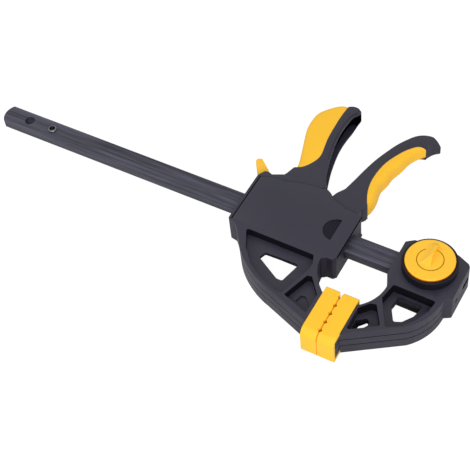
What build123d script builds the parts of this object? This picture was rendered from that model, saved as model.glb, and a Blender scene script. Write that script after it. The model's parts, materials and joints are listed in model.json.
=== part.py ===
"""Quick release bar clamp: a sliding head with a squeeze trigger, and a fixed jaw pinned to a flat bar.

Frame: X runs along the bar towards the fixed jaw, Y points from the jaws to the handles and Z is up,
square to the plane of the jaws. The origin is the middle of the overall box, on the surface the clamp
lies on. Millimetres. Each group is drawn in its own datum: the bar from its stop pin, the head from the
left face of its casing, the fixed jaw from its knob axis; the bar's centre line is the X axis of all three.
"""
import os
from math import cos, radians, sin, sqrt, tan

from build123d import *

# ---- bar -----------------------------------------------------------------------------------------
BAR_WIDTH = 14.7
BAR_THICK = 7.6
BAR_EDGE_R = 1.2
BAR_TAIL = 39.7            # from the stop pin to the free end
BAR_END_R = 11.0           # round of the free end
HANG_HOLE_R = 3.5
HANG_HOLE_X = -19.3
STOP_PIN_R = 3.0
STOP_PIN_WALL = 0.9
STOP_PIN_PROUD = 1.0
RIM_CHAMFER = 0.4          # rims of the stop pin and the collar

# ---- main layout ---------------------------------------------------------------------------------
TRAVEL = 150.0             # jaw opening
THROAT_WIDTH = 33.1        # between the casing and the fixed jaw when closed
CASE_TOP = 10.2            # half thickness of casing and jaws above the bar's mid-plane
CASE_BASE = 10.6           # and below it
JAW_REACH = 77.0           # pad nose from the bar's centre line
GRIP_REACH = 102.9         # grip tip from the bar's centre line
TRIGGER_REACH = 101.9      # trigger tip from the bar's centre line
GRIP_X = 28.0              # grip from the casing's left face
PIVOT_SPAN = 38.0          # trigger pivot from the grip
PIVOT_END = 10.8           # casing's right face from the trigger pivot
FACE_OVERHANG = 15.3       # from the casing's right face to the plane where the pads meet
REST_GAP = 0.1             # closed, between the two pads
SLIDE_GAP = 0.3            # between pieces that slide or swing past each other
SEAT_GAP = 0.05            # between pieces that are seated
BORE_GAP = 0.05            # radial, between a pin and its bore

# ---- casing --------------------------------------------------------------------------------------
COVER_THICK = 2.0
COVER_EDGE = 2.3           # casing rim left of the covers
COVER_LOW = -19.2          # lower edge of the covers
WALL = 3.2                 # left wall
RIGHT_WALL = 2.3
CAVITY_LOW = -16.8
RIGHT_WALL_TOP = 17.5
GRIP_HALF = 9.0            # half thickness of the grip and its root
GRIP_WALL = 2.2            # walls of the grip's channel
GRIP_CROWN_R = 4.0         # round of the soft grip
GRIP_NECK_Y = 37.2         # start of the soft grip
LEVER_Y = 30.0             # start of the trigger's lever
RIM_WIDTH = 1.3            # stepped rim along the front edges of the grip
RIM_STEP = 0.5
TIP_BEVEL = 3.8            # cut off the lower front corner of the grip's tip
THUMB_R = 8.6              # thumb recess in the front cover
THUMB_END = 9.9            # from the casing's right face
THUMB_Y = 1.0
THUMB_DEPTH = 1.6
THUMB_SHALLOW = 0.3
SCREW_R = 1.3
SCREW_HEAD_R = 2.4
SCREW_LENGTH = 9.0
SCREW_SINK = 0.2
SCREW_HEAD = 1.2
SCREW_CROSS = 0.6          # width and depth of the cross recess
BOSS_R = 2.8

# ---- jaws ----------------------------------------------------------------------------------------
WEB_TOP = 4.0              # moving jaw: web between the two pockets
WEB_BASE = 1.5
FIXED_WEB = 2.5            # fixed jaw: half thickness of the web
PAD_DEPTH = 10.95          # back of the pad to its face, moving side
FIXED_PAD_DEPTH = 11.4
PAD_TOP = 11.0
PAD_START = -40.8          # end of the pad nearest the bar
PAD_NOSE_R = 5.5           # round of the pads' upper outer edge, and of the lower one
PAD_LOWER_R = 2.0
PAD_END_WALL = 2.4
PAD_WALL = 2.8
PAD_FACE = 4.0             # soft thickness over the jaw's face
NOTCH_FIRST = -44.6
NOTCH_PITCH = 6.65
NOTCH_COUNT = 5
NOTCH_DEPTH = 1.5
NOTCH_HALF = 1.6
RECESS_DEPTH = 1.5         # blind recess in the moving jaw's web
POCKET_R = 1.4             # inner corners of pockets and windows
CORNER_R = 0.8             # small round corners of the mouldings
CAVITY_R = 0.5             # inner corners of the mechanism space

# ---- trigger and plates --------------------------------------------------------------------------
TRIGGER_HALF = 6.6
TIP_HALF = 2.6             # half thickness of the trigger's tip
LEVER_CROWN_R = 4.2        # round of the trigger's soft insert
PIVOT_Y = -12.5            # below the bar's centre line
PIVOT_PIN_R = 2.0
PIVOT_BOSS_R = 4.0
PIN_BLIND = 1.2            # depth of the pin's seats in the covers
FORK_GAP = 0.5             # between the bar's faces and the fork's arms
FORK_OVER = 4.15           # from the bar's upper edge to the fork's crown
FORK_HALF = 16.0           # half length of the fork's slot
NOSE_R = 3.0
NOSE_X = -4.0              # cam nose from the pivot
NOSE_Y = 23.0
PLATE_THICK = 3.0
PLATE_HALF = 7.6           # half width of the plates across the bar's thickness
DRIVE_TOP = 15.0
DRIVE_LOW = -12.0
BRAKE_X = 5.2              # brake plate's pivot in the head's datum
BRAKE_Y = 21.5
BRAKE_LOW = -14.5
BRAKE_TILT = 7.0           # degrees from square at rest
TAB_HALF = 5.0
BARREL_R = 2.6             # round hinge of the release tab
BRAKE_NECK_UP = 2.0        # the brake plate's neck, above its pivot and below it
BRAKE_NECK_DOWN = 4.2
BRAKE_NECK_HALF = 3.5
SPRING_WIRE_R = 0.45
DRIVE_SPRING_R = 2.6
DRIVE_SPRING_TURNS = 10
DRIVE_SPRING_Y = 12.0
SPRING_RIB_X = 23.5
SPRING_RIB_THICK = 2.0
BRAKE_SPRING_R = 2.0
BRAKE_SPRING_TURNS = 4
BRAKE_SPRING_Y = -12.0
BRAKE_POCKET = 2.0         # depth of the brake spring's seat in the left wall

# ---- fixed jaw's lock ----------------------------------------------------------------------------
HEAD_STOP = 21.5           # knob axis to the fixed jaw's inner face
END_STOP = 22.0            # knob axis to its outer face
BAR_SOCKET = 15.5          # knob axis to the end of the bar
END_SLOT_Y = 5.3           # slot and hole in the fixed jaw's outer face
END_SLOT_LENGTH = 9.6
END_SLOT_WIDTH = 3.6
END_HOLE_Y = -9.3
END_HOLE_R = 1.5
END_RECESS = 3.0
BOSS_RING_R = 17.6
COLLAR_R = 17.5
COLLAR_WALL = 1.5
COLLAR_FLOOR = 1.5
COLLAR_HEIGHT = 6.3
KNOB_HEIGHT = 6.0
KNOB_HOLLOW_R = 6.0
KNOB_EDGE_R = 1.0
CENTRE_R = 8.3
CENTRE_SINK = 1.5
LOCK_R = 3.0
LOCK_STEM_R = 2.0
LOCK_FLANGE_R = 4.4
LOCK_CHAMFER = 0.5
LOCK_FLANGE = 1.15
LOCK_DEPTH = 2.0           # engagement in the bar
LOCK_LIFT = 2.3            # travel of the pin over a quarter turn of the knob
CLIP_R = 3.6
CLIP_THICK = 0.8
CLIP_GAP = 0.2
LOCK_SEAT = 1.4            # thickness of the bore under the pin's flange
LOCK_SPRING_R = 3.3
LOCK_SPRING_TURNS = 2
LOCK_SPRING_WIRE_R = 0.3

# ---- places worked out from the sizes --------------------------------------------------------------
PIVOT_X = GRIP_X + PIVOT_SPAN
HEAD_LENGTH = PIVOT_X + PIVOT_END
HEAD_X = STOP_PIN_R + TRAVEL + REST_GAP
KNOB_X = HEAD_X + HEAD_LENGTH + THROAT_WIDTH + HEAD_STOP
CENTRE_X = (KNOB_X + END_STOP - BAR_TAIL) / 2
CENTRE_Y = (GRIP_REACH - JAW_REACH) / 2
BAR_HALF_Y = BAR_WIDTH / 2
BAR_HALF_Z = BAR_THICK / 2
DEPTH = CASE_TOP + CASE_BASE
FACE_X = HEAD_LENGTH + FACE_OVERHANG
FACE_FIXED = HEAD_X + FACE_X - KNOB_X
INSIDE_TOP = CASE_TOP - COVER_THICK
INSIDE_BASE = CASE_BASE - COVER_THICK
INSIDE = INSIDE_TOP + INSIDE_BASE
FORK_INNER = BAR_HALF_Z + FORK_GAP
CHANNEL_HALF = GRIP_HALF - GRIP_WALL

tail = Plane((-CENTRE_X, -CENTRE_Y, CASE_BASE))
head = Plane((HEAD_X - CENTRE_X, -CENTRE_Y, CASE_BASE))
lock = Plane((KNOB_X - CENTRE_X, -CENTRE_Y, CASE_BASE))
grip = Plane(head.from_local_coords(Vector(GRIP_X, 0, 0)))
pivot = Plane(head.from_local_coords(Vector(PIVOT_X, PIVOT_Y, 0)))
lever = Plane(head.from_local_coords(Vector(PIVOT_X, 0, 0)))


def across(datum, x, y=0.0, z=0.0):
    """Plane square to the bar at x, y and z of a datum: its own x is Y and its own y is Z."""
    place = datum.from_local_coords(Vector(x, y, z))
    return Plane(place, x_dir=(0, 1, 0), z_dir=(1, 0, 0))


def along(datum, y, z=0.0):
    """Plane square to Y at y and z of a datum: its own x is X and its own y is Z; Y is behind it."""
    return Plane(datum.from_local_coords(Vector(0, y, z)), x_dir=(1, 0, 0), z_dir=(0, -1, 0))


def stretched(points, start, reach, drawn):
    """Outline points drawn up to a given height, moved to start and stretched so that they end at reach."""
    return [(x, start + y * (reach - start) / drawn) for x, y in points]


def from_end(points):
    """Points drawn from the casing's right face, in the head's datum."""
    return [(HEAD_LENGTH + x, y) for x, y in points]


def finish(part, name):
    """Name a finished piece and write its file."""
    part.label = name
    export_step(part, f"parts/{name}.step")


os.makedirs("parts", exist_ok=True)

# ================================ bar group =========================================================

with BuildPart() as bar:
    bar_end = KNOB_X + BAR_SOCKET
    round_start = -BAR_TAIL + BAR_END_R - sqrt(BAR_END_R ** 2 - BAR_HALF_Y ** 2)
    with BuildSketch(tail.offset(-BAR_HALF_Z)):
        with BuildLine():
            Polyline((round_start, BAR_HALF_Y), (bar_end, BAR_HALF_Y), (bar_end, -BAR_HALF_Y),
                     (round_start, -BAR_HALF_Y))
            ThreePointArc((round_start, BAR_HALF_Y), (-BAR_TAIL, 0), (round_start, -BAR_HALF_Y))
        make_face()
    extrude(amount=BAR_THICK)
    long_edges = bar.edges().filter_by(Axis.X)
    fillet(long_edges, BAR_EDGE_R)
    with Locations(tail.offset(BAR_HALF_Z)):
        with Locations((HANG_HOLE_X, 0)):
            Hole(HANG_HOLE_R)
        with Locations((0, 0)):
            Hole(STOP_PIN_R)
        with Locations((KNOB_X, 0)):
            Hole(LOCK_R + 2 * BORE_GAP, depth=LOCK_DEPTH + SLIDE_GAP)
finish(bar.part, "bar")

with BuildPart() as stop_pin:
    with BuildSketch(tail.offset(-BAR_HALF_Z - STOP_PIN_PROUD)):
        Circle(STOP_PIN_R)
        Circle(STOP_PIN_R - STOP_PIN_WALL, mode=Mode.SUBTRACT)
    extrude(amount=BAR_THICK + 2 * STOP_PIN_PROUD)
    chamfer(stop_pin.faces().sort_by(Axis.Z)[-1].outer_wire().edges(), RIM_CHAMFER)
    chamfer(stop_pin.faces().sort_by(Axis.Z)[0].outer_wire().edges(), RIM_CHAMFER)
finish(stop_pin.part, "stop_pin")

# Fixed jaw: outlines in the knob's datum.
FIXED_PAD_BACK = FACE_FIXED + FIXED_PAD_DEPTH
FIXED_BLOCK = [(-HEAD_STOP, -15.4), (-HEAD_STOP, 11.6), (-16.5, 15.2), (12.3, 15.9), (20.4, 12.4),
               (END_STOP, 10.6), (END_STOP, -15.5), (17.8, -18.0), (0.0, -24.0), (-16.5, -24.0)]
FIXED_OUTER = [(17.8, -17.0), (17.3, -24.0), (14.5, -33.5), (5.5, -46.0)]
FIXED_INNER = [(FIXED_PAD_BACK, -45.2), (-21.8, -38.7), (-18.2, -30.5), (-18.0, -20.0)]
FIXED_POCKET = [(-16.5, -33.5), (-14.2, -21.5), (13.8, -22.0), (12.6, -30.5), (8.2, -39.9), (2.5, -47.2),
                (-6.0, -52.0)]
FIXED_WINDOW = [(-11.0, -31.8), (-9.6, -23.2), (6.6, -23.4), (4.2, -33.0), (-0.6, -39.6), (-5.2, -41.6)]
FIXED_SMALL_POCKET = [(FIXED_PAD_BACK + 1.6, -46.4), (-21.0, -40.2), (-17.3, -39.3), (-8.9, -52.4),
                      (FIXED_PAD_BACK + 1.6, -64.0)]
FIXED_SMALL_WINDOW = [(FIXED_PAD_BACK + 2.0, -50.7), (-20.4, -46.6), (-17.9, -47.9), (-17.7, -50.8),
                      (-19.9, -54.3), (FIXED_PAD_BACK + 2.0, -58.0)]
FIXED_FOOT_Y = -68.2       # lower corner of the arm at the pad
PAD_FOOT = -JAW_REACH + PAD_END_WALL
PAD_HEADROOM = PAD_START - PAD_END_WALL
TONGUE_TOP = PAD_TOP - PAD_WALL
TONGUE_BASE = CASE_BASE - PAD_WALL

with BuildPart() as fixed_jaw:
    with BuildSketch(lock.offset(-CASE_BASE)):
        with BuildLine():
            FilletPolyline(*FIXED_BLOCK, radius=CORNER_R, close=True)
        make_face()
        Circle(BOSS_RING_R)
        with BuildLine():
            Spline(*FIXED_OUTER)
            Polyline(FIXED_OUTER[-1], (FIXED_PAD_BACK, FIXED_FOOT_Y), FIXED_INNER[0])
            Spline(*FIXED_INNER)
            Line(FIXED_INNER[-1], FIXED_OUTER[0])
        make_face()
    extrude(amount=DEPTH)
    # pockets on both sides of the web, and the windows through it
    for low, high in ((FIXED_WEB, CASE_TOP), (-CASE_BASE, -FIXED_WEB)):
        with BuildSketch(lock.offset(low)):
            with BuildLine():
                FilletPolyline(*FIXED_POCKET, radius=POCKET_R, close=True)
            make_face()
            with BuildLine():
                FilletPolyline(*FIXED_SMALL_POCKET, radius=POCKET_R, close=True)
            make_face()
        extrude(amount=high - low, mode=Mode.SUBTRACT)
    with BuildSketch(lock.offset(-FIXED_WEB)):
        with BuildLine():
            FilletPolyline(*FIXED_WINDOW, radius=POCKET_R, close=True)
        make_face()
        with BuildLine():
            FilletPolyline(*FIXED_SMALL_WINDOW, radius=CORNER_R, close=True)
        make_face()
    extrude(amount=2 * FIXED_WEB, mode=Mode.SUBTRACT)
    # face plate inside the pad
    tongue_face = FACE_FIXED + PAD_FACE + SEAT_GAP
    with BuildSketch(lock.offset(-TONGUE_BASE)):
        with Locations(((tongue_face + FIXED_PAD_BACK) / 2, (PAD_HEADROOM + PAD_FOOT) / 2)):
            Rectangle(FIXED_PAD_BACK - tongue_face, PAD_HEADROOM - PAD_FOOT)
    extrude(amount=TONGUE_BASE + TONGUE_TOP)
    # socket for the bar
    with BuildSketch(across(lock, -HEAD_STOP)):
        Rectangle(BAR_WIDTH + 2 * SEAT_GAP, BAR_THICK + 2 * SEAT_GAP)
    extrude(amount=HEAD_STOP + BAR_SOCKET + SEAT_GAP, mode=Mode.SUBTRACT)
    # bore for the lock pin, with its spring chamber
    with BuildSketch(lock.offset(0)):
        Circle(LOCK_R + BORE_GAP)
    extrude(amount=CASE_TOP, mode=Mode.SUBTRACT)
    with BuildSketch(lock.offset(BAR_HALF_Z + LOCK_SEAT)):
        Circle(LOCK_FLANGE_R + SLIDE_GAP)
    extrude(amount=CASE_TOP, mode=Mode.SUBTRACT)
    # slot and small hole in the end face
    with BuildSketch(across(lock, END_STOP)):
        with Locations((END_SLOT_Y, 0)):
            SlotOverall(END_SLOT_LENGTH, END_SLOT_WIDTH)
        with Locations((END_HOLE_Y, 0)):
            Circle(END_HOLE_R)
    extrude(amount=-END_RECESS, mode=Mode.SUBTRACT)
finish(fixed_jaw.part, "fixed_jaw")

with BuildPart() as lock_collar:
    with BuildSketch(lock.offset(CASE_TOP)):
        Circle(COLLAR_R)
        Circle(LOCK_STEM_R + BORE_GAP, mode=Mode.SUBTRACT)
    extrude(amount=COLLAR_FLOOR)
    with BuildSketch(lock.offset(CASE_TOP + COLLAR_FLOOR)):
        Circle(COLLAR_R)
        Circle(COLLAR_R - COLLAR_WALL, mode=Mode.SUBTRACT)
    extrude(amount=COLLAR_HEIGHT - COLLAR_FLOOR)
    chamfer(lock_collar.faces().sort_by(Axis.Z)[-1].outer_wire().edges(), RIM_CHAMFER)
finish(lock_collar.part, "lock_collar")


def jaw_pad(datum, back, face):
    """Soft cap over a jaw's face plate, from its back plane to its gripping face along X."""
    side = 1 if face > back else -1
    with BuildPart() as pad:
        with BuildSketch(datum.offset(-CASE_BASE)):
            with Locations(((back + face) / 2, (PAD_START - JAW_REACH) / 2)):
                Rectangle(abs(face - back), PAD_START + JAW_REACH)
            for step in range(NOTCH_COUNT):
                y = NOTCH_FIRST - step * NOTCH_PITCH
                with BuildLine():
                    Polyline((face, y + NOTCH_HALF), (face - side * NOTCH_DEPTH, y), (face, y - NOTCH_HALF),
                             close=True)
                make_face(mode=Mode.SUBTRACT)
            with BuildLine():
                Polyline((face, PAD_START), (face - side * NOTCH_DEPTH, PAD_START),
                         (face, PAD_START - 2 * NOTCH_HALF), close=True)
            make_face(mode=Mode.SUBTRACT)
        extrude(amount=CASE_BASE + PAD_TOP)
        nose = pad.edges().filter_by(Axis.X).group_by(Axis.Y)[0].sort_by(Axis.Z)[-1]
        fillet(nose, PAD_NOSE_R)
        lower_nose = pad.edges().filter_by(Axis.X).group_by(Axis.Y)[0].sort_by(Axis.Z)[0]
        fillet(lower_nose, PAD_LOWER_R)
        heel = pad.edges().filter_by(Axis.X).group_by(Axis.Y)[-1]
        fillet(heel, CORNER_R)
        hollow_face = face - side * PAD_FACE
        with BuildSketch(datum.offset(-TONGUE_BASE - SEAT_GAP)):
            with Locations(((back + hollow_face) / 2, (PAD_HEADROOM + PAD_FOOT) / 2)):
                Rectangle(abs(hollow_face - back), PAD_HEADROOM - PAD_FOOT + 2 * SEAT_GAP)
        extrude(amount=TONGUE_BASE + TONGUE_TOP + 2 * SEAT_GAP, mode=Mode.SUBTRACT)
    return pad.part


finish(jaw_pad(lock, FIXED_PAD_BACK, FACE_FIXED + REST_GAP / 2), "fixed_jaw_pad")

# ================================ lock ==============================================================
COLLAR_DECK = CASE_TOP + COLLAR_FLOOR
KNOB_LOW = COLLAR_DECK + SLIDE_GAP
KNOB_TOP = KNOB_LOW + KNOB_HEIGHT
KNOB_R = COLLAR_R - COLLAR_WALL - SLIDE_GAP
CLIP_LOW = COLLAR_DECK + CLIP_GAP

with BuildPart() as lock_knob:
    with BuildSketch(lock.offset(KNOB_LOW)):
        Circle(KNOB_R)
    extrude(amount=KNOB_HEIGHT)
    fillet(lock_knob.edges().sort_by(Axis.Z)[-1], KNOB_EDGE_R)
    with BuildSketch(lock.offset(KNOB_LOW)):
        Circle(KNOB_HOLLOW_R)
    extrude(amount=CLIP_LOW + CLIP_THICK + LOCK_LIFT + SLIDE_GAP - KNOB_LOW, mode=Mode.SUBTRACT)
    with BuildSketch(lock.offset(KNOB_TOP - CENTRE_SINK)):
        Circle(CENTRE_R)
    extrude(amount=CENTRE_SINK, mode=Mode.SUBTRACT)
finish(lock_knob.part, "lock_knob")

# thumb fin, drawn as its cross-section, its side and its steep edge seen from above
FIN_SECTION = [(-5.8, 0), (-3.4, 1.1), (0.4, 3.6), (2.2, 4.0), (3.4, 0)]
FIN_SIDE = [(-5.8, 0), (-3.0, 1.5), (2.0, 3.6), (7.0, 4.0), (9.4, 3.2), (10.4, 0)]
FIN_EDGE = [(2.9, FIN_SIDE[0][0]), (1.5, -1.0), (1.0, 4.0), (1.4, FIN_SIDE[-1][0])]

with BuildPart() as fin:
    with BuildSketch(along(lock, -CENTRE_R, KNOB_TOP)):
        with BuildLine():
            Spline(*FIN_SECTION[:4])
            Polyline(FIN_SECTION[3], FIN_SECTION[4], FIN_SECTION[0])
        make_face()
    extrude(amount=-CENTRE_R - FIN_SIDE[-1][0])
    with BuildSketch(across(lock, FIN_SECTION[0][0], 0, KNOB_TOP)):
        with BuildLine():
            Spline(*FIN_SIDE)
            Line(FIN_SIDE[-1], FIN_SIDE[0])
        make_face()
    extrude(amount=FIN_SECTION[4][0] - FIN_SECTION[0][0], mode=Mode.INTERSECT)
    with BuildSketch(lock.offset(KNOB_TOP)):
        with BuildLine():
            Spline(*FIN_EDGE)
            Polyline(FIN_EDGE[-1], (FIN_SECTION[0][0], FIN_EDGE[-1][1]),
                     (FIN_SECTION[0][0], FIN_EDGE[0][1]), FIN_EDGE[0])
        make_face()
    extrude(amount=KNOB_HEIGHT, mode=Mode.INTERSECT)

with BuildPart() as knob_centre:
    with BuildSketch(lock.offset(KNOB_TOP - CENTRE_SINK)):
        Circle(CENTRE_R - SEAT_GAP)
    extrude(amount=CENTRE_SINK)
    add(fin.part)
finish(knob_centre.part, "knob_centre")

PIN_TIP = BAR_HALF_Z - LOCK_DEPTH
FLANGE_LOW = BAR_HALF_Z + LOCK_SEAT + SEAT_GAP

with BuildPart() as lock_pin:
    with BuildSketch(lock.offset(PIN_TIP)):
        Circle(LOCK_R)
    extrude(amount=FLANGE_LOW - PIN_TIP)
    chamfer(lock_pin.faces().sort_by(Axis.Z)[0].edges(), LOCK_CHAMFER)
    with BuildSketch(lock.offset(FLANGE_LOW)):
        Circle(LOCK_FLANGE_R)
    extrude(amount=LOCK_FLANGE)
    with BuildSketch(lock.offset(FLANGE_LOW + LOCK_FLANGE)):
        Circle(LOCK_STEM_R)
    extrude(amount=CLIP_LOW + CLIP_THICK - FLANGE_LOW - LOCK_FLANGE)
finish(lock_pin.part, "lock_pin")

with BuildPart() as pin_clip:
    with BuildSketch(lock.offset(CLIP_LOW)):
        Circle(CLIP_R)
        Circle(LOCK_STEM_R + SEAT_GAP / 2, mode=Mode.SUBTRACT)
    extrude(amount=CLIP_THICK)
finish(pin_clip.part, "pin_clip")


def coil(datum, start, direction, length, radius, turns, wire=SPRING_WIRE_R):
    """Coil spring of round wire from start, along direction, both in world terms of a datum."""
    first = datum.from_local_coords(Vector(*start))
    pitch = (length - 2 * wire) / turns
    centre = first + Vector(*direction) * wire
    with BuildPart() as spring:
        with BuildLine() as path:
            Helix(pitch=pitch, height=length - 2 * wire, radius=radius, center=centre, direction=direction)
        with BuildSketch(Plane(origin=path.line @ 0, z_dir=path.line % 0)):
            Circle(wire)
        sweep(is_frenet=True)
    return spring.part


LOCK_SPRING_LOW = FLANGE_LOW + LOCK_FLANGE + SEAT_GAP
finish(coil(lock, (0, 0, LOCK_SPRING_LOW), (0, 0, 1), CASE_TOP - LOCK_SPRING_LOW - SEAT_GAP,
            LOCK_SPRING_R, LOCK_SPRING_TURNS, LOCK_SPRING_WIRE_R), "lock_spring")

# ================================ head group ========================================================
# Outlines in the head's datum.
JAW_ROOT = (4.6, -20.7)
THROAT_ROOT = (-8.6, -23.0)          # from the casing's right face
CASE = [(0, -19.8), (0, 20.3), (2.8, 25.0), (5.5, 25.4), (8.4, 24.4), (GRIP_X - 14.8, 26.7),
        (GRIP_X - 10.5, 28.6), (GRIP_X + 5.0, 29.6), (GRIP_X + 15.5, 30.0), (GRIP_X + 15.5, 24.6),
        (GRIP_X + 17.0, RIGHT_WALL_TOP)]
CASE += from_end([(0, RIGHT_WALL_TOP), (0, -19.0), (-1.8, -21.0), (-5.8, -21.0), THROAT_ROOT])
CASE += [JAW_ROOT]
# grip: root in the grip's datum, the rest drawn from the neck up to the tip's height
ROOT = [(-15.0, 24.0), (-11.9, 30.6), (-9.9, 37.0), (-4.0, 40.0), (0.2, 44.2), (10.6, 44.6), (14.3, 36.0),
        (16.0, 33.1), (17.8, 31.0), (17.6, 26.0), (15.5, 24.0)]
GRIP_TIP = (4.4, 65.7)
GRIP_BACK = [(-9.7, 0.0), (-5.9, 1.9), (-1.4, 7.6), (1.2, 14.4), (0.8, 21.2), (-1.0, 31.3), (-1.8, 42.8),
             (-2.0, 52.8), (-1.3, 63.8)]
GRIP_NOSE = (8.6, 63.6)
GRIP_FRONT = [GRIP_NOSE, (7.8, 61.2), (5.8, 58.2), (4.8, 53.8), (4.2, 44.8), (4.6, 35.8), (6.3, 25.0),
              (8.5, 15.3), (11.3, 6.0)]
GRIP_HEEL = (8.0, -3.0)              # inside the root
CHANNEL_TIP = [(0.9, 61.2), (4.2, 63.6), (7.4, 62.2)]     # round upper end of the channel
CHANNEL_HEEL = (6.0, 3.0)
BEVEL_LOW = 53.0
CHANNEL_MOUTH = 32.0                 # beyond the front of the grip
SOFT_BACK = [(-9.7, 0.0), (-9.5, 3.0), (-10.4, 8.0), (-12.5, 14.8), (-16.6, 27.5), (-19.0, 36.0),
             (-19.6, 43.0), (-18.2, 52.0), (-14.5, 57.4), (-11.1, 61.1), (-7.1, 64.2), (-1.3, 65.2)]
JAW_OUTER = [(4.6, -20.2), (10.9, -27.3), (20.0, -39.5), (30.0, -48.3), (47.6, -57.0)]
JAW_INNER = from_end([THROAT_ROOT, (-8.2, -27.0), (-5.3, -34.5), (4.2, -45.8)])
JAW_FOOT_Y = -69.2                   # lower corner of the arm at the pad
POCKET = [(14.6, -22.0)] + from_end([(-13.8, -22.5), (-11.2, -29.1), (-11.5, -33.5), (-18.5, -57.0),
                                     (-23.8, -56.8)]) + [(41.8, -52.6), (30.5, -45.6), (21.6, -35.8)]
WINDOW = [(30.6, -35.0), (32.4, -30.2), (55.9, -29.5), (52.0, -45.0), (48.0, -44.9)]
SMALL_POCKET = from_end([(-10.2, -38.4), (-7.2, -37.8), (1.8, -48.6), (1.8, -63.6), (-16.6, -57.2)])
SMALL_RECESS = from_end([(-10.4, -54.8), (-8.6, -49.6), (-5.6, -49.2), (-0.8, -54.6), (-0.8, -60.0)])
COVER = [(COVER_EDGE, COVER_LOW), (COVER_EDGE, 19.9), (10.0, 22.7), (GRIP_X - 9.6, 23.2),
         (GRIP_X + 0.3, 26.0), (GRIP_X + 7.0, 27.3), (GRIP_X + 16.9, 27.8), (GRIP_X + 19.6, 28.4),
         (GRIP_X + 22.6, 26.6), (GRIP_X + 27.2, 22.6)]
COVER += from_end([(-12.3, 18.9), (0, 18.3), (0, -17.6), (-1.8, COVER_LOW)])
CAVITY = [(WALL, CAVITY_LOW), (WALL, 18.6), (10.0, 19.6), (18.4, 21.2), (GRIP_X + 6.0, 22.6),
          (GRIP_X + 7.0, 41.0)]
CAVITY += from_end([(RIGHT_WALL, 41.0), (RIGHT_WALL, RIGHT_WALL_TOP), (-RIGHT_WALL, RIGHT_WALL_TOP),
                    (-RIGHT_WALL, CAVITY_LOW)])
RELIEF = [(6.0, 22.0), (6.0, 33.0), (9.5, 44.0), (32.0, 44.0), (32.0, 22.0)]
TAB_SLOT = [(-REST_GAP, 18.0), (-REST_GAP, 30.0), (9.2, 30.0), (9.2, 18.0)]
SPRING_RIB_TOP = 22.4
RIB_GAP = 1.2                        # between the bar and the rib
SCREWS = [(15.0, 18.6), (15.0, -14.6), (44.0, -14.6), (32.0, 20.6)]
PAD_BACK = FACE_X - PAD_DEPTH


def grip_points(points):
    """Points of the grip in its own datum, between the neck and the tip."""
    return stretched(points, GRIP_NECK_Y, GRIP_REACH, GRIP_TIP[1])


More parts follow.
